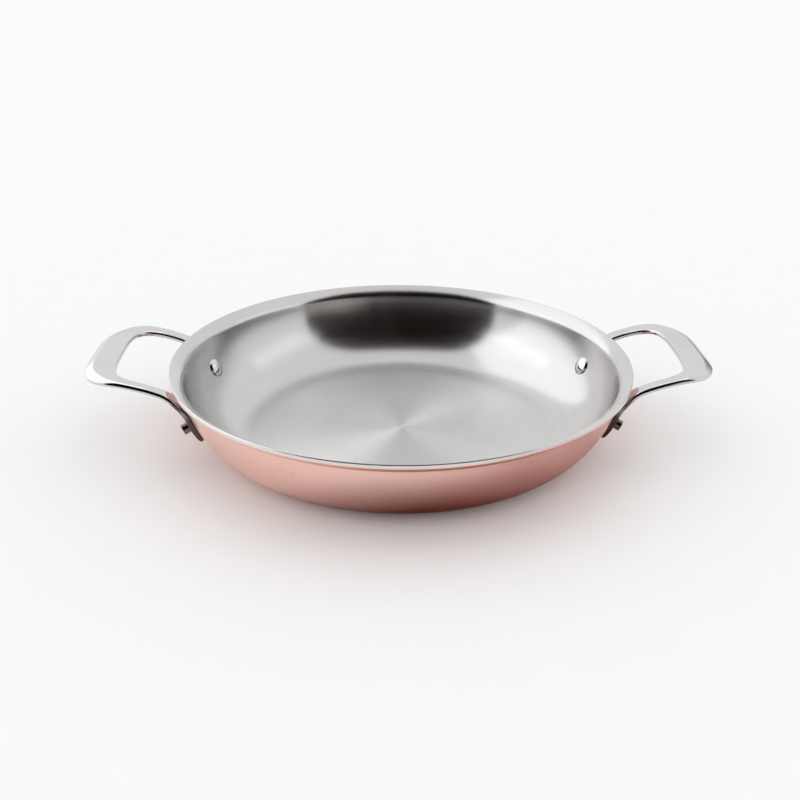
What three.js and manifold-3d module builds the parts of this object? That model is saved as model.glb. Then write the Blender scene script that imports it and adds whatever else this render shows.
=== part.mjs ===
// A shallow saute pan of bonded metal with two loop handles, in millimetres, +Z up.
// The origin is the centre of the base, on the surface that the pan stands on.
// The handles reach out along +X and -X. Front is the -Y side.
import * as THREE from "three";
import { mergeVertices } from "three/addons/utils/BufferGeometryUtils.js";
import Module from "manifold-3d";

const wasm = await Module();
wasm.setup();

const { clamp, degToRad, lerp, smoothstep } = THREE.MathUtils;

// Pan body
const RIM_DIAMETER = 300; // across the edge of the flared lip
const PAN_HEIGHT = 54; // from the base to the top of the lip, before its edge is rounded
const BASE_DIAMETER = 200; // the flat part of the base
const SIDE_SWEEP = degToRad(76.5); // how far the side turns up from the base
const LIP_REACH = 5.7; // how far the lip flares out from the side
const LIP_RISE = 8; // from the start of the flare to the top of the lip
const LIP_SLOPE = degToRad(28); // of the lip at its edge, above level
const LIP_EDGE_RADIUS = 1.2; // rounding of the cut edge towards the inside
const COPPER_THICKNESS = 0.8;
const CORE_THICKNESS = 1.3;
const LINING_THICKNESS = 0.7;
const BOND_LINE = 0.02; // between one bonded layer and the next

// Handles
const HANDLE_REACH = 50.5; // from the edge of the lip to the outside of the grip
const LEG_SPACING = 92.2; // between the middles of the two legs
const LEG_WIDTH = 10;
const GRIP_WIDTH = 19.8;
const LOOP_SQUARENESS = 3.65; // exponent of the loop's plan: 2 is an ellipse, more is squarer
const LOOP_CREST = 40; // from the edge of the lip out to the highest part of the loop
const LOOP_RISE = 5; // of the crest above the lip
const LEG_DROP = 7.8; // how far the loop falls from the crest to the edge of the lip
const LEG_LEAN = degToRad(3.5); // of the legs' top faces towards each other
const PLATE_THICKNESS = 3; // of the feet, the legs and the inner edge of the grip
const FOOT_EDGE = 0.5; // rounding of the feet where they lie against the pan
const EDGE_WIDTH = 1.9; // rounding along the top edges of the loop, across
const EDGE_DROP = 2.5; // and down
const UNDER_RADIUS = 0.4; // rounding along the other edges
const GRIP_FULL = 0.85; // where along half of the loop the grip has its full width
const GRIP_SWELL = 2.2; // extra thickness at the outer edge of the grip
const GRIP_UNDER_RADIUS = 1.5;
const SHOULDER_WIDTH = 5; // of the slope that falls from the grip's top to its outer edge
const SHOULDER_DROP = 3.4;
const SHOULDER_SLOPE = degToRad(28); // at its ridge
const SHOULDER_START = 0.15; // where along half of the loop the slope begins
const SHOULDER_FULL = 0.6; // and where it has its full width
const FOOT_WIDTH = 17;
const FOOT_BELOW_RIVET = 10.5; // height from the rivet down to the rounded end
const FOOT_ABOVE_RIVET = 7.5; // height from the rivet up to the start of the bend
const BEND_PULL = 7.5; // arm of the curve at each end of the bend

// Rivets
const RIVET_SPACING = 87; // between the two rivets of one handle
const RIVET_DROP = 26.5; // from the top of the lip down to the rivet, on the outside
const HEAD_DIAMETER = 12.8;
const HEAD_HEIGHT = 2.6;
const HEAD_RIM = 0.8; // height of the head at its edge
const SHANK_DIAMETER = 6;
const TAIL_DIAMETER = 6.8; // the closed end outside the handle
const TAIL_LENGTH = 4.2;
const TAIL_CHAMFER = 0.5;

// Clearances
const SEAT_GAP = 0.3; // between the pan, the handle's foot and the rivet
const HOLE_CLEARANCE = 0.3; // round the shank

// Fineness of the curved surfaces
const PAN_SEGMENTS = 64;
const SIDE_STEPS = 8;
const LIP_STEPS = 4;
const EDGE_STEPS = 3;
const RIVET_SEGMENTS = 20;
const DOME_STEPS = 4;
const FOOT_STEPS = 8;
const BEND_STEPS = 6;
const LOOP_STEPS = 14;
const CORNER_STEPS = 2;

const RIM_RADIUS = RIM_DIAMETER / 2;
const BASE_RADIUS = BASE_DIAMETER / 2;
const CORE_DEPTH = COPPER_THICKNESS + BOND_LINE; // below the outer face
const LINING_DEPTH = CORE_DEPTH + CORE_THICKNESS + BOND_LINE;
const WALL_THICKNESS = LINING_DEPTH + LINING_THICKNESS;
const RIVET_HEIGHT = PAN_HEIGHT - RIVET_DROP;

const COPPER = new THREE.MeshStandardMaterial({ color: 0xd99a86, roughness: 0.35, metalness: 1 });
const ALUMINIUM = new THREE.MeshStandardMaterial({ color: 0xc9cacb, roughness: 0.5, metalness: 1 });
const BRUSHED_STEEL = new THREE.MeshStandardMaterial({ color: 0xb9b7b4, roughness: 0.35, metalness: 1 });
const POLISHED_STEEL = new THREE.MeshStandardMaterial({ color: 0xc6c5c3, roughness: 0.12, metalness: 1 });

// The outside of the pan, as radius and height: an arc of an ellipse that leaves the base level,
// then the flare of the lip, which leaves the side without a corner.
const sideHeight = PAN_HEIGHT - LIP_RISE;
const sideReach = (RIM_RADIUS - LIP_REACH - BASE_RADIUS) / Math.sin(SIDE_SWEEP);
const sideRise = sideHeight / (1 - Math.cos(SIDE_SWEEP));
const sideStart = -Math.PI / 2;
const side = new THREE.EllipseCurve(
  BASE_RADIUS, sideRise, sideReach, sideRise, sideStart, sideStart + SIDE_SWEEP,
);
const lip = lipCurve();

function lipCurve() {
  const neck = side.getPoint(1);
  const upwards = side.getTangent(1);
  const edge = new THREE.Vector2(RIM_RADIUS, PAN_HEIGHT - WALL_THICKNESS / Math.cos(LIP_SLOPE));
  const outwards = new THREE.Vector2(Math.cos(LIP_SLOPE), Math.sin(LIP_SLOPE));
  const toEdge = edge.clone().sub(neck);
  const along = toEdge.cross(outwards) / upwards.cross(outwards);
  return new THREE.QuadraticBezierCurve(neck, neck.clone().addScaledVector(upwards, along), edge);
}

// The point of the outside at a height on the side, with the direction up the side there.
function sideAt(height) {
  const turn = Math.acos(1 - height / sideRise) / SIDE_SWEEP;
  return { point: side.getPoint(turn), upwards: side.getTangent(turn) };
}

// The point of the lip's edge at a depth inside the outer face: cut off upright, then rounded over.
function edgeAt(depth) {
  const intoRound = (depth - WALL_THICKNESS + LIP_EDGE_RADIUS) / LIP_EDGE_RADIUS;
  const back = LIP_EDGE_RADIUS * (1 - Math.sqrt(1 - clamp(intoRound, 0, 1) ** 2));
  const point = lip.getPoint(1).addScaledVector(lip.getTangent(1), -back);
  point.y += depth / Math.cos(LIP_SLOPE);
  return point;
}

// The pan's surface at a depth inside the outer face, from the axis to the lip's edge.
function surface(depth) {
  const inset = (curve, t) => {
    const tangent = curve.getTangent(t);
    return curve.getPoint(t).add(new THREE.Vector2(-tangent.y, tangent.x).multiplyScalar(depth));
  };
  const points = [new THREE.Vector2(0, depth)];
  for (let step = 0; step <= SIDE_STEPS; step++) points.push(inset(side, step / SIDE_STEPS));
  for (let step = 1; step < LIP_STEPS; step++) points.push(inset(lip, step / LIP_STEPS));
  return [...points, edgeAt(depth)];
}

// A bowl between two depths inside the outer face, turned about +Z.
function bowl(outerDepth, innerDepth) {
  const edge = [];
  for (let step = 1; step < EDGE_STEPS; step++) {
    edge.push(edgeAt(lerp(outerDepth, innerDepth, step / EDGE_STEPS)));
  }
  const profile = [...surface(outerDepth), ...edge, ...surface(innerDepth).reverse()];
  return new THREE.LatheGeometry(profile, PAN_SEGMENTS).rotateX(Math.PI / 2);
}

function solidOf(geometry) {
  const bare = geometry.clone();
  bare.deleteAttribute("normal");
  bare.deleteAttribute("uv");
  const merged = mergeVertices(bare);
  return new wasm.Manifold(new wasm.Mesh({
    numProp: 3,
    vertProperties: new Float32Array(merged.attributes.position.array),
    triVerts: new Uint32Array(merged.index.array),
  }));
}

function geometryOf(solid) {
  const mesh = solid.getMesh();
  const geometry = new THREE.BufferGeometry();
  geometry.setAttribute("position", new THREE.BufferAttribute(mesh.vertProperties, mesh.numProp));
  geometry.setIndex(new THREE.BufferAttribute(mesh.triVerts, 1));
  geometry.computeVertexNormals();
  return geometry;
}

function piece(name, solid, material) {
  const mesh = new THREE.Mesh(geometryOf(solid), material);
  mesh.name = name;
  return mesh;
}

// How far round the pan from the handle's middle a rivet stands.
const rivetSeat = sideAt(RIVET_HEIGHT);
const RIVET_TURN = Math.asin(RIVET_SPACING / 2 / rivetSeat.point.x);

// A rivet's own frame: its origin on the outer face of the pan, +Y straight out of the side.
function rivetPlace(turn) {
  const { point, upwards } = rivetSeat;
  const along = new THREE.Vector3(upwards.x, 0, upwards.y);
  const out = new THREE.Vector3(upwards.y, 0, -upwards.x);
  const frame = new THREE.Matrix4().makeBasis(along, out, new THREE.Vector3(0, 1, 0));
  frame.setPosition(point.x, 0, point.y);
  return new THREE.Matrix4().makeRotationZ(turn).multiply(frame);
}

// The hole that a rivet's shank goes through, in the pan and in the handle's foot.
function rivetHole(turn) {
  const depth = 2 * (WALL_THICKNESS + PLATE_THICKNESS);
  const radius = SHANK_DIAMETER / 2 + HOLE_CLEARANCE;
  const hole = new THREE.CylinderGeometry(radius, radius, 2 * depth, RIVET_SEGMENTS);
  return solidOf(hole.applyMatrix4(rivetPlace(turn)));
}

// One bonded layer of the pan, with a hole for each rivet.
function panLayer(name, outerDepth, thickness, material) {
  let layer = solidOf(bowl(outerDepth, outerDepth + thickness));
  for (const handleTurn of [0, Math.PI]) {
    for (const end of [-1, 1]) layer = layer.subtract(rivetHole(handleTurn + end * RIVET_TURN));
  }
  return piece(name, layer, material);
}

// A rivet: a domed head that follows the inside of the pan, a shank, and a plain closed end.
function rivet(name, turn) {
  const headRadius = HEAD_DIAMETER / 2;
  const domeHeight = HEAD_HEIGHT - HEAD_RIM;
  const domeRadius = (headRadius ** 2 + domeHeight ** 2) / (2 * domeHeight);
  const domeSpan = Math.asin(headRadius / domeRadius);
  const domeTop = -WALL_THICKNESS - HEAD_HEIGHT;
  const headProfile = [];
  for (let step = 0; step <= DOME_STEPS; step++) {
    const angle = (step / DOME_STEPS) * domeSpan;
    const drop = domeRadius * (1 - Math.cos(angle));
    headProfile.push(new THREE.Vector2(domeRadius * Math.sin(angle), domeTop + drop));
  }
  const middleOfWall = -WALL_THICKNESS / 2;
  headProfile.push(new THREE.Vector2(headRadius, middleOfWall), new THREE.Vector2(0, middleOfWall));

  const middleOfHead = -WALL_THICKNESS - HEAD_HEIGHT / 2;
  const tailStart = SEAT_GAP + PLATE_THICKNESS + SEAT_GAP;
  const tailEnd = tailStart + TAIL_LENGTH;
  const tailRadius = TAIL_DIAMETER / 2;
  const shankProfile = [
    [0, middleOfHead],
    [SHANK_DIAMETER / 2, middleOfHead],
    [SHANK_DIAMETER / 2, tailStart],
    [tailRadius, tailStart],
    [tailRadius, tailEnd - TAIL_CHAMFER],
    [tailRadius - TAIL_CHAMFER, tailEnd],
    [0, tailEnd],
  ].map(([radius, height]) => new THREE.Vector2(radius, height));

  const turned = (profile) =>
    solidOf(new THREE.LatheGeometry(profile, RIVET_SEGMENTS).applyMatrix4(rivetPlace(turn)));
  const seat = solidOf(bowl(-SEAT_GAP, WALL_THICKNESS + SEAT_GAP));
  return piece(name, turned(headProfile).subtract(seat).add(turned(shankProfile)), POLISHED_STEEL);
}

// Height and slope of the handle's top face at a distance from the pan's axis: an arch.
function loopTop(x) {
  const fall = (RIM_RADIUS + LOOP_CREST - x) / LOOP_CREST;
  return PAN_HEIGHT + LOOP_RISE - LEG_DROP * fall ** 2;
}

function loopSlope(x) {
  return (2 * LEG_DROP * (RIM_RADIUS + LOOP_CREST - x)) / LOOP_CREST ** 2;
}

// Stations along half of the handle, from the rounded end of a foot to the middle of the grip.
// Each has a point on the face that lies against the pan and turns up to be the top of the loop,
// a direction that fixes how the plate lies there, the plate's width, and two shares from 0 to 1:
// how far its edges are rounded and how far the grip's slope is there.
function halfHandle() {
  const footTip = RIVET_HEIGHT - FOOT_BELOW_RIVET;
  const footTop = RIVET_HEIGHT + FOOT_ABOVE_RIVET;
  const footAcross = new THREE.Vector3(-Math.sin(RIVET_TURN), Math.cos(RIVET_TURN), 0);
  const footPoint = (height) => {
    const { point, upwards } = sideAt(height);
    const radius = point.x + SEAT_GAP * upwards.y;
    const z = point.y - SEAT_GAP * upwards.x;
    return new THREE.Vector3(radius * Math.cos(RIVET_TURN), radius * Math.sin(RIVET_TURN), z);
  };
  const stations = [];

  for (let step = 0; step <= FOOT_STEPS; step++) {
    const share = (step / FOOT_STEPS) ** 2;
    const height = lerp(footTip, footTop, share);
    const fromRound = Math.max(0, 1 - (height - footTip) / (FOOT_WIDTH / 2));
    const round = FOOT_WIDTH * Math.sqrt(1 - fromRound ** 2);
    stations.push({
      point: footPoint(height),
      across: footAcross,
      width: Math.max(round, LEG_WIDTH / 2),
      rounded: 0,
      shoulder: 0,
    });
  }

  const { upwards } = sideAt(footTop);
  const bendStart = footPoint(footTop);
  const up = new THREE.Vector3(
    upwards.x * Math.cos(RIVET_TURN), upwards.x * Math.sin(RIVET_TURN), upwards.y,
  );
  const bendEnd = new THREE.Vector3(RIM_RADIUS, LEG_SPACING / 2, loopTop(RIM_RADIUS));
  const out = new THREE.Vector3(1, 0, loopSlope(RIM_RADIUS)).normalize();
  const bend = new THREE.CubicBezierCurve3(
    bendStart,
    bendStart.clone().addScaledVector(up, BEND_PULL),
    bendEnd.clone().addScaledVector(out, -BEND_PULL),
    bendEnd,
  );
  const legAcross = new THREE.Vector3(0, Math.cos(LEG_LEAN), Math.sin(LEG_LEAN));
  for (let step = 1; step < BEND_STEPS; step++) {
    const t = step / BEND_STEPS;
    stations.push({
      point: bend.getPoint(t),
      across: footAcross.clone().lerp(legAcross, t),
      width: lerp(FOOT_WIDTH, LEG_WIDTH, smoothstep(t, 0, 1)),
      rounded: t,
      shoulder: 0,
    });
  }

  const loopReach = HANDLE_REACH - GRIP_WIDTH / 2;
  const rounding = 2 / LOOP_SQUARENESS;
  for (let step = 0; step <= LOOP_STEPS; step++) {
    const t = step / LOOP_STEPS;
    const angle = (t * Math.PI) / 2;
    const x = RIM_RADIUS + loopReach * Math.sin(angle) ** rounding;
    const y = (LEG_SPACING / 2) * Math.max(0, Math.cos(angle)) ** rounding;
    const lean = (Math.tan(LEG_LEAN) * y) / (LEG_SPACING / 2);
    stations.push({
      point: new THREE.Vector3(x, y, loopTop(x)),
      top: new THREE.Vector3(-loopSlope(x), -lean, 1).normalize(),
      width: lerp(LEG_WIDTH, GRIP_WIDTH, smoothstep(t, 0, GRIP_FULL)),
      rounded: 1,
      shoulder: smoothstep(t, SHOULDER_START, SHOULDER_FULL),
    });
  }
  return stations;
}

// The plate's section: flat on top, with rounded edges. The outside of the grip is deeper, and its top
// falls away in a slope from a ridge. Each corner is a curve between two points about a third.
function plateSection({ width, rounded, shoulder }) {
  const half = width / 2;
  const edgeWidth = lerp(FOOT_EDGE, EDGE_WIDTH, rounded);
  const edgeDrop = lerp(FOOT_EDGE, EDGE_DROP, rounded);
  const outerWidth = lerp(edgeWidth, SHOULDER_WIDTH, shoulder);
  const outerDrop = lerp(edgeDrop, SHOULDER_DROP, shoulder);
  const outerFall = outerWidth * Math.tan(SHOULDER_SLOPE * shoulder);
  const outerDepth = PLATE_THICKNESS + GRIP_SWELL * shoulder;
  const outerUnder = lerp(UNDER_RADIUS, GRIP_UNDER_RADIUS, shoulder);
  const corners = [
    [[half, -outerDrop], [half, -outerFall], [half - outerWidth, 0]],
    [[edgeWidth - half, 0], [-half, 0], [-half, -edgeDrop]],
    [
      [-half, UNDER_RADIUS - PLATE_THICKNESS],
      [-half, -PLATE_THICKNESS],
      [UNDER_RADIUS - half, -PLATE_THICKNESS],
    ],
    [[half - outerUnder, -outerDepth], [half, -outerDepth], [half, outerUnder - outerDepth]],
  ];
  return corners.flatMap((corner) => {
    const points = corner.map(([across, up]) => new THREE.Vector2(across, up));
    return new THREE.QuadraticBezierCurve(...points).getPoints(CORNER_STEPS);
  });
}

// Skins a run of rings, each with as many points, and closes both ends.
function skin(rings) {
  const count = rings[0].length;
  const index = [];
  for (let ring = 0; ring + 1 < rings.length; ring++) {
    for (let j = 0; j < count; j++) {
      const a = ring * count + j;
      const b = ring * count + ((j + 1) % count);
      index.push(a, b, a + count, b, b + count, a + count);
    }
  }
  const last = (rings.length - 1) * count;
  for (let j = 1; j + 1 < count; j++) {
    index.push(0, j + 1, j);
    index.push(last, last + j, last + j + 1);
  }
  const geometry = new THREE.BufferGeometry().setFromPoints(rings.flat());
  return geometry.setIndex(index);
}

// A loop handle on the +X side: two feet against the pan, two legs and a grip, all one piece of metal.
function handle(name) {
  const half = halfHandle();
  const mirrored = (vector) => new THREE.Vector3(vector.x, -vector.y, vector.z);
  const otherHalf = half.slice(0, -1).reverse().map((station) => ({
    ...station,
    point: mirrored(station.point),
    across: station.across && mirrored(station.across),
    top: station.top && mirrored(station.top),
  }));
  const stations = [...half, ...otherHalf];
  const rings = stations.map((station, i) => {
    const before = stations[Math.max(i - 1, 0)].point;
    const after = stations[Math.min(i + 1, stations.length - 1)].point;
    const along = after.clone().sub(before).normalize();
    const across = station.across?.clone() ?? station.top.clone().cross(along);
    across.addScaledVector(along, -across.dot(along)).normalize();
    const up = along.clone().cross(across);
    return plateSection(station).map(({ x, y }) =>
      station.point.clone().addScaledVector(across, x).addScaledVector(up, y));
  });
  let plate = solidOf(skin(rings));
  for (const end of [-1, 1]) plate = plate.subtract(rivetHole(end * RIVET_TURN));
  return piece(name, plate, POLISHED_STEEL);
}

const pan = new THREE.Group();
pan.add(
  panLayer("copper_shell", 0, COPPER_THICKNESS, COPPER),
  panLayer("aluminium_core", CORE_DEPTH, CORE_THICKNESS, ALUMINIUM),
  panLayer("steel_lining", LINING_DEPTH, LINING_THICKNESS, BRUSHED_STEEL),
);
for (const { sideName, turn, front } of [
  { sideName: "right", turn: 0, front: -1 },
  { sideName: "left", turn: Math.PI, front: 1 },
]) {
  const group = new THREE.Group();
  group.rotation.z = turn;
  group.add(
    handle(`${sideName}_handle`),
    rivet(`${sideName}_front_rivet`, front * RIVET_TURN),
    rivet(`${sideName}_back_rivet`, -front * RIVET_TURN),
  );
  pan.add(group);
}

export default pan;
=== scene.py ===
import math

import bmesh
import bpy
import numpy as np
from mathutils import Matrix, Vector


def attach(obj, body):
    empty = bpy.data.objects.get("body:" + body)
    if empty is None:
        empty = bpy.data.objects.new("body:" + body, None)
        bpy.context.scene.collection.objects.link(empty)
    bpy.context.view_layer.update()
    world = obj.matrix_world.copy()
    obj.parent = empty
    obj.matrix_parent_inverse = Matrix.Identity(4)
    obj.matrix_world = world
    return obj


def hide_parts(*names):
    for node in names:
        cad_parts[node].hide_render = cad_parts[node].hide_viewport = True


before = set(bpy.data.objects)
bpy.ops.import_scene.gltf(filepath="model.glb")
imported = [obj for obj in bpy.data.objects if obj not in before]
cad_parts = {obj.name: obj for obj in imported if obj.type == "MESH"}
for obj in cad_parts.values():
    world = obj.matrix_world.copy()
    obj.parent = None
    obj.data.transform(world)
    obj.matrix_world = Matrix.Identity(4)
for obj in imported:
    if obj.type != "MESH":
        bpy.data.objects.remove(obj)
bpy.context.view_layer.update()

# The pan, in millimetres, as in the solids
RIM_RADIUS = 150.0
PAN_HEIGHT = 54.0
BASE_RADIUS = 100.0
SIDE_SWEEP = math.radians(76.5)  # how far the side turns up from the base
LIP_REACH = 5.7  # how far the lip flares out from the side
LIP_RISE = 8.0  # from the start of the flare to the top of the lip
LIP_SLOPE = math.radians(28)
LIP_EDGE_RADIUS = 1.2
COPPER = 0.8
CORE = 1.3
LINING = 0.7
BOND = 0.02
CORE_DEPTH = COPPER + BOND
LINING_DEPTH = CORE_DEPTH + CORE + BOND
WALL = LINING_DEPTH + LINING

# The handles, as in the solids
HANDLE_REACH = 50.5  # from the edge of the lip to the outside of the grip
LEG_SPACING = 92.2
LEG_WIDTH = 10.0
GRIP_WIDTH = 19.8
LOOP_SQUARENESS = 3.65  # exponent of the loop's plan: 2 is an ellipse, more is squarer
LOOP_CREST = 40.0  # from the edge of the lip out to the highest part of the loop
LOOP_RISE = 5.0  # of the crest above the lip
LEG_DROP = 7.8  # how far the loop falls from the crest to the edge of the lip
LEG_LEAN = math.radians(3.5)  # of the legs' top faces towards each other
PLATE = 3.0
FOOT_EDGE = 0.5
EDGE_WIDTH = 1.9  # rounding along the top edges of the loop, across
EDGE_DROP = 2.5  # and down
UNDER_RADIUS = 0.4
GRIP_FULL = 0.85  # where along half of the loop the grip has its full width
GRIP_SWELL = 2.2  # extra thickness at the outer edge of the grip
GRIP_UNDER_RADIUS = 1.5
SHOULDER_WIDTH = 5.0  # of the slope that falls from the grip's top to its outer edge
SHOULDER_DROP = 3.4
SHOULDER_SLOPE = math.radians(28)
SHOULDER_START = 0.15  # where along half of the loop the slope begins
SHOULDER_FULL = 0.6  # and where it has its full width
FOOT_WIDTH = 17.0
FOOT_BELOW_RIVET = 10.5
FOOT_ABOVE_RIVET = 7.5
BEND_PULL = 7.5  # arm of the curve at each end of the bend
SEAT_GAP = 0.3  # between the pan, the handle's foot and the rivet

# The rivets, as in the solids
RIVET_SPACING = 87.0
RIVET_DROP = 26.5  # from the top of the lip down to the rivet, on the outside
RIVET_HEIGHT = PAN_HEIGHT - RIVET_DROP
HEAD_RADIUS = 6.4
HEAD_HEIGHT = 2.6
HEAD_RIM = 0.8  # edge of the solid head, the height over which the head here bends to follow the pan
SHANK_RADIUS = 3.0
TAIL_RADIUS = 3.4
TAIL_LENGTH = 4.2
TAIL_CHAMFER = 0.5

# Small forms of the scene alone
HEAD_ROUND_RIM = 0.3  # upright edge of a rivet's head, below a fuller dome than the solid's
SIDE_BEND_RADIUS = 62.0  # of the inside of the pan at the rivets, up the side
COPPER_CORNER_RADIUS = 0.12  # rounding of the copper's outer corner at the lip
FOOT_TIP_CUT = 0.12  # taken off the very tip of a foot's rounded end

# Fineness
TURNS = 288
RIVET_TURNS = 64
FLOOR_RINGS = (0.0, 12.0, 40.0, 70.0, 90.0)  # radii, on the flat of the pan
SIDE_POINTS = 34
LIP_POINTS = 16
EDGE_POINTS = 12
EASED_POINTS = 5
EASED_GUARD = 2.2  # from an eased corner to the points that keep its faces flat, in radii
DOME_POINTS = 22
CHAMFER_POINTS = 6
TAIL_GUARD = 0.3  # from the tail's rounding to the rings that keep its faces flat
TAIL_INNER_RING = 1.2
FOOT_POINTS = 28
BEND_POINTS = 30
LOOP_POINTS = 80
LOOP_SAMPLES = 4000
CORNER_POINTS = 10
FLAT_SHARES = (0.06, 0.35, 0.65, 0.94)  # places of the points along a flat of the handle's section
SHARP_ANGLE = math.radians(40)
TOLERANCE = 1e-6
MM = 0.001


# Helpers
def unit(vector):
    return np.asarray(vector, float) / np.linalg.norm(vector)


def cross(a, b):
    return a[0] * b[1] - a[1] * b[0]


def mix(a, b, t):
    return a + (b - a) * t


def smooth(value, start=0.0, end=1.0):
    t = min(1.0, max(0.0, (value - start) / (end - start)))
    return t * t * (3 - 2 * t)


# The point at t on the curve that leaves a towards b and comes from b to c
def curve_point(a, b, c, t):
    return (1 - t) ** 2 * a + 2 * t * (1 - t) * b + t * t * c


def quarter_turn(points):
    return np.linspace(0, 1, points) * math.pi / 2


def link(name, data):
    made = bpy.data.objects.new(name, data)
    bpy.context.scene.collection.objects.link(made)
    return made


# The outside of the pan as radius and height: an arc of an ellipse, then the flare of the lip
side_reach = (RIM_RADIUS - LIP_REACH - BASE_RADIUS) / math.sin(SIDE_SWEEP)
side_rise = (PAN_HEIGHT - LIP_RISE) / (1 - math.cos(SIDE_SWEEP))


# A point of the side, from the base at 0 to the lip at 1, with the direction up the side
def side(t):
    angle = t * SIDE_SWEEP
    point = np.array([BASE_RADIUS + side_reach * math.sin(angle), side_rise * (1 - math.cos(angle))])
    return point, unit([side_reach * math.cos(angle), side_rise * math.sin(angle)])


def side_at(height):
    return side(math.acos(1 - height / side_rise) / SIDE_SWEEP)


neck, neck_up = side(1)
lip_end = np.array([RIM_RADIUS, PAN_HEIGHT - WALL / math.cos(LIP_SLOPE)])
lip_out = np.array([math.cos(LIP_SLOPE), math.sin(LIP_SLOPE)])
lip_pull = neck + neck_up * (cross(lip_end - neck, lip_out) / cross(neck_up, lip_out))


def lip(t):
    along = (1 - t) * (lip_pull - neck) + t * (lip_end - lip_pull)
    return curve_point(neck, lip_pull, lip_end, t), unit(along)


# The lip's edge at a depth inside the outer face: cut off upright, then rounded over
def edge_at(depth):
    into = min(1.0, max(0.0, (depth - WALL + LIP_EDGE_RADIUS) / LIP_EDGE_RADIUS))
    back = LIP_EDGE_RADIUS * (1 - math.sqrt(1 - into * into))
    return lip_end - lip_out * back + np.array([0, depth / math.cos(LIP_SLOPE)])


# The face at a depth inside the outer face, from the axis to the lip's edge
def surface(depth):
    points = [np.array([radius, depth]) for radius in FLOOR_RINGS]
    side_shares = np.linspace(0, 1, SIDE_POINTS)
    lip_shares = np.linspace(0, 1, LIP_POINTS)[1:-1]
    for curve, shares in ((side, side_shares), (lip, lip_shares)):
        for t in shares:
            point, along = curve(t)
            points.append(point + depth * np.array([-along[1], along[0]]))
    return points + [edge_at(depth)]


# Rounds one corner of an outline, with a point on each side that keeps the faces next to it flat
def eased(before, corner, after, radius):
    back = unit(before - corner) * radius
    on = unit(after - corner) * radius
    shares = np.linspace(0, 1, EASED_POINTS)
    arc = [curve_point(corner + back, corner, corner + on, t) for t in shares]
    return [corner + back * EASED_GUARD, *arc, corner + on * EASED_GUARD]


# Makes a piece from vertices in millimetres, in the place of a solid
def make_object(name, vertices, faces, material, node, slot):
    mesh = bpy.data.meshes.new(name)
    mesh.from_pydata([tuple(vertex * MM) for vertex in np.asarray(vertices, float)], [], faces)
    shape = bmesh.new()
    shape.from_mesh(mesh)
    bmesh.ops.recalc_face_normals(shape, faces=shape.faces)
    shape.to_mesh(mesh)
    shape.free()
    mesh.shade_smooth()
    mesh.set_sharp_from_angle(angle=SHARP_ANGLE)
    mesh.materials.append(material)
    made = link(name, mesh)
    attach(made, "root")
    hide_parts(node)


# Turns an outline that starts and ends on the axis about +Z
def turned(outline, turns):
    vertices = [(0, 0, outline[0][1])]
    rings = []
    for radius, height in outline[1:-1]:
        rings.append(range(len(vertices), len(vertices) + turns))
        for step in range(turns):
            angle = 2 * math.pi * step / turns
            vertices.append((radius * math.cos(angle), radius * math.sin(angle), height))
    vertices.append((0, 0, outline[-1][1]))
    last = len(vertices) - 1
    faces = []
    for step in range(turns):
        after = (step + 1) % turns
        faces.append((0, rings[0][after], rings[0][step]))
        for ring, following in zip(rings, rings[1:]):
            faces.append((ring[step], ring[after], following[after], following[step]))
        faces.append((last, rings[-1][step], rings[-1][after]))
    return np.array(vertices), faces


# One bonded layer between two depths, where the outermost has its corner at the lip eased
def layer(outer_depth, inner_depth):
    outside = surface(outer_depth)
    inside = surface(inner_depth)
    thickness = inner_depth - outer_depth
    shares = np.linspace(0, 1, EDGE_POINTS)[1:-1]
    edge = [edge_at(inner_depth - thickness * (1 - t) ** 2) for t in shares]
    corner = [outside[-1]]
    if outer_depth == 0:
        corner = eased(outside[-2], outside[-1], edge[0], COPPER_CORNER_RADIUS)
    return turned(outside[:-1] + corner + edge + inside[::-1], TURNS)


# Rivets
seat, seat_up = side_at(RIVET_HEIGHT)
rivet_turn = math.asin(RIVET_SPACING / 2 / seat[0])


# A rivet's middle on the outside of the pan, and the directions up the side, round it and straight out
def rivet_frame(turn):
    cosine, sine = math.cos(turn), math.sin(turn)
    middle = np.array([seat[0] * cosine, seat[0] * sine, seat[1]])
    up = np.array([seat_up[0] * cosine, seat_up[0] * sine, seat_up[1]])
    across = np.array([-sine, cosine, 0])
    out = np.array([seat_up[1] * cosine, seat_up[1] * sine, -seat_up[0]])
    return middle, up, across, out


# How far the inside of the pan comes forward towards its axis, at u up the side and v round it from a rivet
def wall_rise(u, v):
    bend_round = seat_up[1] / seat[0]
    return (u * u / SIDE_BEND_RADIUS + v * v * bend_round) / 2


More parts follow.
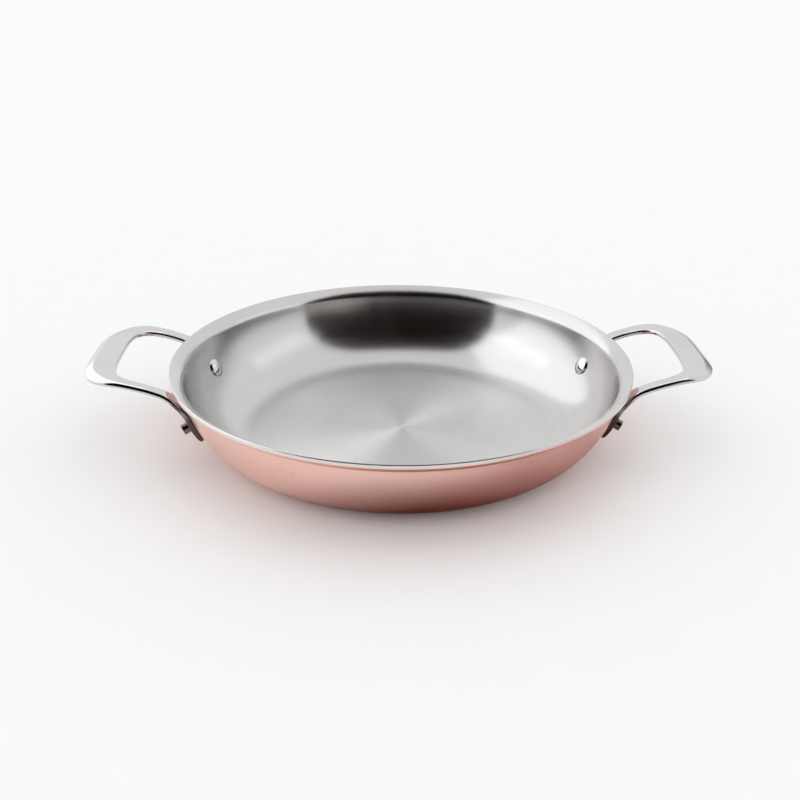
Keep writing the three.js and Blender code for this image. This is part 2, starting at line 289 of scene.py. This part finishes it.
# Radius and height of a rivet, outwards from the outside of the pan: head, shank, then tail
def rivet_outline():
    dome = HEAD_HEIGHT - HEAD_ROUND_RIM
    outline = []
    for angle in quarter_turn(DOME_POINTS):
        outline.append((HEAD_RADIUS * math.sin(angle), -WALL - HEAD_ROUND_RIM - dome * math.cos(angle)))
    outline += [(HEAD_RADIUS, -WALL - HEAD_ROUND_RIM / 2), (HEAD_RADIUS, -WALL)]
    outline += [(SHANK_RADIUS, -WALL), (SHANK_RADIUS, SEAT_GAP)]
    start = 2 * SEAT_GAP + PLATE
    end = start + TAIL_LENGTH
    outline += [(SHANK_RADIUS, start - SEAT_GAP), (TAIL_RADIUS, start - SEAT_GAP)]
    outline += [(TAIL_RADIUS, start), (TAIL_RADIUS, end - TAIL_CHAMFER - TAIL_GUARD)]
    for angle in quarter_turn(CHAMFER_POINTS):
        radius = TAIL_RADIUS - TAIL_CHAMFER + TAIL_CHAMFER * math.cos(angle)
        outline.append((radius, end - TAIL_CHAMFER + TAIL_CHAMFER * math.sin(angle)))
    outline += [(TAIL_RADIUS - TAIL_CHAMFER - TAIL_GUARD, end), (TAIL_INNER_RING, end), (0, end)]
    return outline


def rivet(name, turn, material):
    middle, up, across, out = rivet_frame(turn)
    straight, faces = turned(rivet_outline(), RIVET_TURNS)
    placed = []
    for u, v, height in straight:
        beyond_shank = math.hypot(u, v) > SHANK_RADIUS + TOLERANCE
        if beyond_shank and height < TOLERANCE - WALL:
            share = min(1.0, max(0.0, 1 + (height + WALL) / HEAD_RIM))
            height -= share * wall_rise(u, v)
        placed.append(middle + up * u + across * v + out * height)
    make_object(f"{name}_polished", placed, faces, material, name, "rivet")


# Handles: rings along a path from one foot, over the bend and the loop, to the other foot
def loop_top(x):
    fall = (RIM_RADIUS + LOOP_CREST - x) / LOOP_CREST
    return PAN_HEIGHT + LOOP_RISE - LEG_DROP * fall ** 2


def loop_slope(x):
    return 2 * LEG_DROP * (RIM_RADIUS + LOOP_CREST - x) / LOOP_CREST ** 2


foot_cosine, foot_sine = math.cos(rivet_turn), math.sin(rivet_turn)
foot_across = np.array([-foot_sine, foot_cosine, 0])
foot_tip = RIVET_HEIGHT - FOOT_BELOW_RIVET
foot_top = RIVET_HEIGHT + FOOT_ABOVE_RIVET


def foot_point(height):
    point, upwards = side_at(height)
    radius = point[0] + SEAT_GAP * upwards[1]
    return np.array([radius * foot_cosine, radius * foot_sine, point[1] - SEAT_GAP * upwards[0]])


# A station holds its point, the way across or else the way up out of the bar, its width, and how far
# its section has gone over to the loop's rounded edges and to the grip's shoulder
def foot_stations():
    stations = []
    for t in np.linspace(0, 1, FOOT_POINTS):
        height = foot_tip + (foot_top - foot_tip) * t * t
        from_round = max(0.0, 1 - (height - foot_tip + FOOT_TIP_CUT) / (FOOT_WIDTH / 2))
        width = FOOT_WIDTH * math.sqrt(1 - from_round ** 2)
        stations.append((foot_point(height), foot_across, None, width, 0.0, 0.0))
    return stations


def bend_stations():
    upwards = side_at(foot_top)[1]
    up = np.array([upwards[0] * foot_cosine, upwards[0] * foot_sine, upwards[1]])
    first = foot_point(foot_top)
    last = np.array([RIM_RADIUS, LEG_SPACING / 2, loop_top(RIM_RADIUS)])
    out = unit([1, 0, loop_slope(RIM_RADIUS)])
    arms = [first, first + up * BEND_PULL, last - out * BEND_PULL, last]
    leg_across = np.array([0, math.cos(LEG_LEAN), math.sin(LEG_LEAN)])
    stations = []
    for t in np.linspace(0, 1, BEND_POINTS)[1:-1]:
        weights = ((1 - t) ** 3, 3 * t * (1 - t) ** 2, 3 * t * t * (1 - t), t ** 3)
        point = sum(weight * arm for weight, arm in zip(weights, arms))
        width = mix(FOOT_WIDTH, LEG_WIDTH, smooth(t))
        stations.append((point, mix(foot_across, leg_across, t), None, width, t, 0.0))
    return stations


# From the end of the bend to the middle of the grip, at even lengths
def loop_stations():
    reach = HANDLE_REACH - GRIP_WIDTH / 2
    half_spacing = LEG_SPACING / 2
    rounding = 2 / LOOP_SQUARENESS
    fine = np.linspace(0, 1, LOOP_SAMPLES)
    fine_x = RIM_RADIUS + reach * np.sin(fine * math.pi / 2) ** rounding
    fine_y = half_spacing * np.clip(np.cos(fine * math.pi / 2), 0, None) ** rounding
    length = np.concatenate([[0], np.cumsum(np.hypot(np.diff(fine_x), np.diff(fine_y)))])
    stations = []
    for t in np.interp(np.linspace(0, length[-1], LOOP_POINTS), length, fine):
        x = np.interp(t, fine, fine_x)
        y = np.interp(t, fine, fine_y)
        lie = unit([-loop_slope(x), -math.tan(LEG_LEAN) * y / half_spacing, 1])
        width = mix(LEG_WIDTH, GRIP_WIDTH, smooth(t, 0, GRIP_FULL))
        shoulder = smooth(t, SHOULDER_START, SHOULDER_FULL)
        stations.append((np.array([x, y, loop_top(x)]), None, lie, width, 1.0, shoulder))
    return stations


# The bar's outline at a station, with its top at 0 and four rounded corners
def plate_section(width, rounded, shoulder):
    half = width / 2
    edge_width = mix(FOOT_EDGE, EDGE_WIDTH, rounded)
    edge_drop = mix(FOOT_EDGE, EDGE_DROP, rounded)
    outer_width = mix(edge_width, SHOULDER_WIDTH, shoulder)
    outer_drop = mix(edge_drop, SHOULDER_DROP, shoulder)
    outer_fall = outer_width * math.tan(SHOULDER_SLOPE * shoulder)
    outer_depth = PLATE + GRIP_SWELL * shoulder
    outer_under = mix(UNDER_RADIUS, GRIP_UNDER_RADIUS, shoulder)
    corners = (
        ((half, -outer_drop), (half, -outer_fall), (half - outer_width, 0)),
        ((edge_width - half, 0), (-half, 0), (-half, -edge_drop)),
        ((-half, UNDER_RADIUS - PLATE), (-half, -PLATE), (UNDER_RADIUS - half, -PLATE)),
        ((half - outer_under, -outer_depth), (half, -outer_depth), (half, outer_under - outer_depth)),
    )
    arcs = []
    for corner in corners:
        points = [np.array(point, float) for point in corner]
        arcs.append([curve_point(*points, t) for t in np.linspace(0, 1, CORNER_POINTS)])
    ring = []
    for arc, following in zip(arcs, arcs[1:] + arcs[:1]):
        ring += arc
        ring += [mix(arc[-1], following[0], t) for t in FLAT_SHARES]
    return ring


def mirrored(vector):
    return None if vector is None else vector * np.array([1, -1, 1])


# Builds one half up to the middle of the grip, mirrors it back to the other foot, and skins the rings
def handle(name, turn, material):
    stations = foot_stations() + bend_stations() + loop_stations()
    for point, across, lie, *sizes in stations[-2::-1]:
        stations.append((mirrored(point), mirrored(across), mirrored(lie), *sizes))
    path = [station[0] for station in stations]
    cosine, sine = math.cos(turn), math.sin(turn)
    turned_to = np.array([[cosine, -sine, 0], [sine, cosine, 0], [0, 0, 1]])
    vertices = []
    for i, (point, across, lie, *sizes) in enumerate(stations):
        along = unit(path[min(i + 1, len(path) - 1)] - path[max(i - 1, 0)])
        across = np.cross(lie, along) if across is None else across
        across = unit(across - along * (across @ along))
        up = np.cross(along, across)
        for aside, rise in plate_section(*sizes):
            vertices.append(turned_to @ (point + across * aside + up * rise))
    count = len(vertices) // len(stations)
    faces = []
    for ring in range(len(stations) - 1):
        for j in range(count):
            here = ring * count + j
            beside = ring * count + (j + 1) % count
            faces.append((here, beside, beside + count, here + count))
    faces.append(tuple(range(count - 1, -1, -1)))
    faces.append(tuple(range(len(vertices) - count, len(vertices))))
    make_object(f"{name}_polished", vertices, faces, material, name, "handle")


# Materials
class Tree:
    def __init__(self, name):
        self.material = bpy.data.materials.new(name)
        self.material.use_nodes = True
        self.nodes = self.material.node_tree.nodes
        self.links = self.material.node_tree.links
        self.shader = self.nodes["Principled BSDF"]

    def add(self, kind, inputs=(), **settings):
        node = self.nodes.new(kind)
        for key, value in settings.items():
            setattr(node, key, value)
        for key, value in dict(inputs).items():
            self.set(node, key, value)
        return node

    def set(self, node, key, value):
        socket = node.inputs[key]
        if isinstance(value, bpy.types.NodeSocket):
            self.links.new(value, socket)
        else:
            socket.default_value = value

    def maths(self, operation, a, b=0.0):
        return self.add("ShaderNodeMath", {0: a, 1: b}, operation=operation).outputs[0]

    def blend(self, a, share_a, b, share_b):
        return self.maths("ADD", self.maths("MULTIPLY", a, share_a), self.maths("MULTIPLY", b, share_b))

    def noise(self, vector, scale, detail=4.0, rough=0.5):
        inputs = {"Vector": vector, "Scale": scale, "Detail": detail, "Roughness": rough}
        return self.add("ShaderNodeTexNoise", inputs).outputs["Fac"]

    # Goes from one level to the other while the value goes from start to end
    def spread(self, value, at_start, at_end, start=0.3, end=0.7):
        inputs = {"Value": value, "From Min": start, "From Max": end, "To Min": at_start, "To Max": at_end}
        return self.add("ShaderNodeMapRange", inputs).outputs["Result"]

    def place(self):
        return self.add("ShaderNodeTexCoord").outputs["Object"]

    def place_parts(self):
        return self.add("ShaderNodeSeparateXYZ", {0: self.place()}).outputs

    # Distance from the pan's axis
    def radius(self):
        x, y, _ = self.place_parts()
        squares = self.blend(x, x, y, y)
        return self.maths("SQRT", squares)

    # Radius, way round and height, with the way round shrunk, so that noise makes marks that run round
    def round_place(self, stretch):
        x, y, z = self.place_parts()
        arc = self.maths("MULTIPLY", self.maths("ARCTAN2", y, x), stretch)
        return self.add("ShaderNodeCombineXYZ", {0: self.radius(), 1: arc, 2: z}).outputs[0]

    def round_tangent(self):
        return self.add("ShaderNodeTangent", direction_type="RADIAL", axis="Z").outputs[0]

    def tints(self, value, low, high, start=0.25, end=0.75):
        ramp = self.add("ShaderNodeValToRGB", {"Fac": value})
        for element, position, tint in zip(ramp.color_ramp.elements, (start, end), (low, high)):
            element.position = position
            element.color = (*tint, 1)
        return ramp.outputs["Color"]

    # The mix node's sockets for a colour mix: 0 is the share, 6 and 7 the two colours, 2 the outcome
    # Mixes a colour towards a darker tint by a share; the materials use it to paint shade
    def painted_shade_mix(self, color, painted_shade, share):
        mixed = self.add("ShaderNodeMix", {0: share, 6: color, 7: (*painted_shade, 1)}, data_type="RGBA")
        return mixed.outputs[2]

    def bump(self, height, strength, distance):
        inputs = {"Height": height, "Strength": strength, "Distance": distance}
        return self.add("ShaderNodeBump", inputs).outputs[0]

    def finish(self, **inputs):
        for key, value in inputs.items():
            self.set(self.shader, key.replace("_", " "), value)
        return self.material


def copper_material():
    tree = Tree("satin_copper")
    grain = tree.noise(tree.round_place(stretch=0.02), scale=1400.0, detail=5.0, rough=0.6)
    cloud = tree.noise(tree.place(), scale=22.0, detail=3.0)
    return tree.finish(
        Base_Color=tree.tints(cloud, low=(0.925, 0.605, 0.53), high=(0.955, 0.635, 0.56)),
        Metallic=1.0,
        Roughness=tree.spread(tree.blend(grain, 0.6, cloud, 0.4), at_start=0.26, at_end=0.32),
        Anisotropic=0.35,
        Anisotropic_Rotation=0.25,
        Tangent=tree.round_tangent(),
        Normal=tree.bump(grain, strength=0.004, distance=0.0001),
    )


# Brushed in circles, paler and rougher on the flat, which ends between the two radii in metres
def lining_material(flat_start=0.088, flat_end=0.112):
    tree = Tree("brushed_steel")
    rounds = tree.round_place(stretch=0.015)
    brush = tree.noise(rounds, scale=1100.0, detail=7.0, rough=0.65)
    broad = tree.noise(rounds, scale=160.0, detail=3.0)
    cloud = tree.noise(tree.place(), scale=16.0, detail=2.0)
    marks = tree.blend(brush, 0.55, broad, 0.45)
    on_flat = tree.spread(tree.radius(), at_start=1.0, at_end=0.0, start=flat_start, end=flat_end)
    shade = tree.blend(tree.maths("ADD", broad, cloud), 0.4, on_flat, 0.4)
    brushed = tree.spread(marks, at_start=0.175, at_end=0.225)
    rougher_on_flat = tree.maths("MULTIPLY", on_flat, 0.2)
    return tree.finish(
        Base_Color=tree.tints(shade, low=(0.57, 0.56, 0.555), high=(0.68, 0.675, 0.67), start=0.2, end=0.95),
        Metallic=1.0,
        Roughness=tree.maths("ADD", brushed, rougher_on_flat),
        Anisotropic=0.82,
        Anisotropic_Rotation=0.25,
        Tangent=tree.round_tangent(),
        Normal=tree.bump(brush, strength=0.012, distance=0.0001),
    )


def core_material():
    tree = Tree("cut_aluminium")
    turning = tree.noise(tree.round_place(stretch=0.03), scale=2600.0, detail=3.0)
    return tree.finish(
        Base_Color=tree.tints(turning, low=(0.80, 0.80, 0.80), high=(0.88, 0.88, 0.87)),
        Metallic=1.0,
        Roughness=tree.spread(turning, at_start=0.38, at_end=0.5),
        Normal=tree.bump(turning, strength=0.15, distance=0.0002),
    )


# Painted shade darkens the feet close to the pan; it ends unevenly between the two radii in metres
def handle_material(painted_shade_start=0.145, painted_shade_end=0.153, unevenness=0.004):
    tree = Tree("polished_steel")
    fine = tree.noise(tree.place(), scale=900.0, detail=4.0, rough=0.6)
    cast = tree.noise(tree.place(), scale=60.0, detail=2.0)
    outwards = tree.maths("ADD", tree.radius(), tree.maths("MULTIPLY", cast, unevenness))
    # Painted shade: the steel turns dark close to the pan, at the feet
    painted_shade = tree.spread(outwards, at_start=1.0, at_end=0.0, start=painted_shade_start, end=painted_shade_end)
    bright = tree.tints(cast, low=(0.60, 0.60, 0.595), high=(0.64, 0.64, 0.635))
    polish = tree.spread(fine, at_start=0.09, at_end=0.16)
    rougher_on_painted_shade = tree.maths("MULTIPLY", painted_shade, 0.08)
    return tree.finish(
        Base_Color=tree.painted_shade_mix(bright, painted_shade=(0.11, 0.09, 0.085), share=painted_shade),
        Metallic=1.0,
        Roughness=tree.maths("ADD", polish, rougher_on_painted_shade),
        Normal=tree.bump(cast, strength=0.04, distance=0.0008),
    )


# Bright heads inside the pan, and tails outside it darkened with painted shade, with the change between the
# two radii in metres
def rivet_material(painted_shade_start=0.138, painted_shade_end=0.14):
    tree = Tree("bright_steel")
    fine = tree.noise(tree.place(), scale=1500.0, detail=4.0, rough=0.6)
    # Painted shade: the tails outside the pan turn dark
    painted_shade = tree.spread(tree.radius(), at_start=0.0, at_end=1.0, start=painted_shade_start, end=painted_shade_end)
    bright = tree.tints(fine, low=(0.62, 0.62, 0.615), high=(0.66, 0.66, 0.655))
    polish = tree.spread(fine, at_start=0.05, at_end=0.1)
    rougher_on_painted_shade = tree.maths("MULTIPLY", painted_shade, 0.15)
    return tree.finish(
        Base_Color=tree.painted_shade_mix(bright, painted_shade=(0.2, 0.16, 0.15), share=painted_shade),
        Metallic=1.0,
        Roughness=tree.maths("ADD", polish, rougher_on_painted_shade),
        Normal=tree.bump(fine, strength=0.03, distance=0.0001),
    )


# The pieces
copper, core, lining = copper_material(), core_material(), lining_material()
make_object("copper_shell_satin", *layer(0, COPPER), copper, "copper_shell", "copper")
make_object("aluminium_core_cut", *layer(CORE_DEPTH, CORE_DEPTH + CORE), core, "aluminium_core", "core")
make_object("steel_lining_brushed", *layer(LINING_DEPTH, WALL), lining, "steel_lining", "lining")
grip_steel, rivet_steel = handle_material(), rivet_material()
handle("right_handle", 0.0, grip_steel)
handle("left_handle", math.pi, grip_steel)
rivet("right_front_rivet", -rivet_turn, rivet_steel)
rivet("right_back_rivet", rivet_turn, rivet_steel)
rivet("left_front_rivet", math.pi + rivet_turn, rivet_steel)
rivet("left_back_rivet", math.pi - rivet_turn, rivet_steel)

# The studio, in metres: a pale floor and a white surround, then a soft box, a dark flag, two painted
# shadows on the floor, a grey card and two lit cards that show only in the metal
FLOOR_HALF = 20.0
FLAG_FOOT_HALF = 1.51
FLAG_FOOT_Y = -1.0
FLAG_TOP_HALF = 0.4
FLAG_TOP_Y = -0.03
FLAG_HEIGHT = 1.5
GREY_RIGHT = (1.2, 0.0)
GREY_BACK = (0.2, 1.2)
GREY_HEIGHT = 0.6
CARD_X = 0.18
CARD_HALF = 0.05
CARD_FRONT_Y = -0.02
CARD_BACK_Y = 0.17
CARD_HEIGHT = 0.2
LEFT_CARD_STRENGTH = 1.9
RIGHT_CARD_STRENGTH = 1.4


def sheet(name, corners, material):
    mesh = bpy.data.meshes.new(name)
    mesh.from_pydata(corners, [], [tuple(range(len(corners)))])
    mesh.materials.append(material)
    made = link(name, mesh)
    return made


# A sheet that only reflections show
def reflected_sheet(name, corners, material):
    made = sheet(name, corners, material)
    made.visible_camera = False
    made.visible_diffuse = False
    made.visible_transmission = False
    made.visible_shadow = False
    return made


def rectangle(left, right, front, back, height=0.0):
    return [(left, front, height), (right, front, height), (right, back, height), (left, back, height)]


def floor_material():
    tree = Tree("pale_floor")
    speck = tree.noise(tree.place(), scale=40.0, detail=4.0)
    return tree.finish(
        Base_Color=tree.tints(speck, low=(0.955, 0.955, 0.955), high=(0.965, 0.965, 0.965)),
        Roughness=0.9,
        Specular_IOR_Level=0.0,
    )


# Black cloth, pale low down at its right, with faint upright folds from its middle to the right
def flag_material():
    tree = Tree("black_cloth")
    x, y, z = tree.place_parts()
    ahead = tree.maths("MULTIPLY", y, -1.0)
    sideways = tree.maths("DIVIDE", x, ahead)
    upwards = tree.maths("DIVIDE", z, ahead)
    at_right = tree.spread(sideways, at_start=0.0, at_end=1.0, start=0.3, end=0.7)
    low_down = tree.spread(upwards, at_start=1.0, at_end=0.0, start=0.02, end=0.5)
    across = tree.add("ShaderNodeCombineXYZ", {0: sideways}).outputs[0]
    ripple = tree.noise(across, scale=9.0, detail=2.0)
    folds = tree.spread(ripple, at_start=0.0, at_end=0.05, start=0.45, end=0.75)
    past_middle = tree.spread(sideways, at_start=0.0, at_end=1.0, start=-0.1, end=0.15)
    paleness = tree.blend(at_right, low_down, folds, past_middle)
    black, pale = (0.006, 0.0015, 0.001), (0.76, 0.68, 0.655)
    return tree.finish(
        Base_Color=tree.tints(paleness, low=black, high=pale, start=0.0, end=1.0),
        Roughness=1.0,
        Specular_IOR_Level=0.0,
    )


# Grey card behind the pan on the right, fading out upwards and to both sides
def grey_material():
    tree = Tree("grey_card")
    x, y, z = tree.place_parts()
    angle = tree.maths("ARCTAN2", y, x)
    from_right = tree.spread(angle, at_start=0.0, at_end=1.0, start=0.3, end=0.75)
    to_left = tree.spread(angle, at_start=1.0, at_end=0.0, start=1.1, end=1.4)
    upwards = tree.spread(z, at_start=0.9, at_end=0.0, start=0.08, end=0.42)
    return tree.finish(
        Base_Color=(0.2, 0.185, 0.18, 1),
        Roughness=1.0,
        Specular_IOR_Level=0.0,
        Alpha=tree.maths("MULTIPLY", tree.maths("MULTIPLY", from_right, to_left), upwards),
    )


# Lit white card that hangs over a handle
def card_material(name, strength):
    tree = Tree(name)
    speck = tree.noise(tree.place(), scale=30.0, detail=2.0)
    return tree.finish(
        Base_Color=(0, 0, 0, 1),
        Roughness=1.0,
        Specular_IOR_Level=0.0,
        Emission_Color=tree.tints(speck, low=(0.97, 0.97, 0.97), high=(1.0, 1.0, 1.0)),
        Emission_Strength=strength,
    )


# A painted shadow that the outside of the pan reflects: a dark round just above the floor, reddish with
# painted copper bounce, fading from start to end
def painted_shadow_round(name, place, tint, opacity, start, end):
    tree = Tree(name)
    radius = tree.add("ShaderNodeVectorMath", {0: tree.place()}, operation="LENGTH").outputs["Value"]
    material = tree.finish(
        Base_Color=(*tint, 1),
        Roughness=1.0,
        Specular_IOR_Level=0.0,
        Alpha=tree.spread(radius, at_start=opacity, at_end=0.0, start=start, end=end),
    )
    reflected_sheet(name, rectangle(-end, end, -end, end), material).location = place


# A soft box of a given brightness, seen from the pan in a given direction in degrees
def soft_box(name, azimuth, elevation, distance, width, depth, brightness):
    lamp = bpy.data.lights.new(name, "AREA")
    lamp.shape = "RECTANGLE"
    lamp.size = width
    lamp.size_y = depth
    lamp.energy = brightness * math.pi * width * depth
    level, rise = math.cos(math.radians(elevation)), math.sin(math.radians(elevation))
    turn = math.radians(azimuth)
    away = Vector((math.cos(turn) * level, math.sin(turn) * level, rise))
    facing = away.to_track_quat("Z", "Y").to_matrix().to_4x4()
    made = link(name, lamp)
    made.matrix_world = Matrix.Translation(away * distance) @ facing
    made.visible_camera = False
    made.visible_diffuse = False


sheet("floor", rectangle(-FLOOR_HALF, FLOOR_HALF, -FLOOR_HALF, FLOOR_HALF), floor_material())
flag_corners = [
    (-FLAG_FOOT_HALF, FLAG_FOOT_Y, 0),
    (FLAG_FOOT_HALF, FLAG_FOOT_Y, 0),
    (FLAG_TOP_HALF, FLAG_TOP_Y, FLAG_HEIGHT),
    (-FLAG_TOP_HALF, FLAG_TOP_Y, FLAG_HEIGHT),
]
reflected_sheet("front_flag", flag_corners, flag_material())
# Painted shadows under the pan and to its right, which only the metal reflects
painted_shadow_round(
    "under_painted_shadow", place=(0.0175, -0.082, 0.0002), tint=(0.175, 0.035, 0.02),
    opacity=0.96, start=0.044, end=0.105,
)
painted_shadow_round(
    "right_painted_shadow", place=(0.134, -0.108, 0.0004), tint=(0.4, 0.21, 0.195),
    opacity=0.58, start=0.051, end=0.125,
)
grey_corners = [(*GREY_RIGHT, 0), (*GREY_BACK, 0), (*GREY_BACK, GREY_HEIGHT), (*GREY_RIGHT, GREY_HEIGHT)]
reflected_sheet("grey_card", grey_corners, grey_material())
cards = (("left_card", -CARD_X, LEFT_CARD_STRENGTH), ("right_card", CARD_X, RIGHT_CARD_STRENGTH))
for name, x, strength in cards:
    corners = rectangle(x - CARD_HALF, x + CARD_HALF, CARD_FRONT_Y, CARD_BACK_Y, CARD_HEIGHT)
    reflected_sheet(name, corners, card_material(name, strength))
soft_box("left_box", azimuth=158, elevation=33, distance=1.6, width=2.5, depth=2.2, brightness=0.55)

world = bpy.data.worlds.new("studio")
bpy.context.scene.world = world
world.use_nodes = True
world.node_tree.nodes["Background"].inputs["Color"].default_value = (1, 1, 1, 1)
world.node_tree.nodes["Background"].inputs["Strength"].default_value = 1.0

# The camera, from the fit to the lip and the handles in the photograph
TURN = math.radians(3.5)  # of the pan before the camera
PITCH = math.radians(24.671)
ROLL = math.radians(-1.034)
EYE = Vector((0.01863, -0.63861, 0.26550))  # from the middle of the lip's outer edge, before the turn
SENSOR_WIDTH = 36.0
LENS = 47.18
CLIP_START = 0.01
PHOTO_WIDTH = 800
SHIFT_PIXELS = -30
unturn = Matrix.Rotation(-TURN, 3, "Z")
forward = unturn @ Vector((0, math.cos(PITCH), -math.sin(PITCH)))
level = unturn @ Vector((1, 0, 0))
upright = level.cross(forward)
right = level * math.cos(ROLL) - upright * math.sin(ROLL)
above = level * math.sin(ROLL) + upright * math.cos(ROLL)
eye = unturn @ EYE + Vector((0, 0, lip_end[1] * MM))
camera = link("camera", bpy.data.cameras.new("camera"))
camera.matrix_world = Matrix.Translation(eye) @ Matrix((right, above, -forward)).transposed().to_4x4()
camera.data.sensor_width = SENSOR_WIDTH
camera.data.lens = LENS
camera.data.shift_x = SHIFT_PIXELS / PHOTO_WIDTH
camera.data.clip_start = CLIP_START
bpy.context.scene.camera = camera
bpy.context.scene.view_settings.view_transform = "Standard"
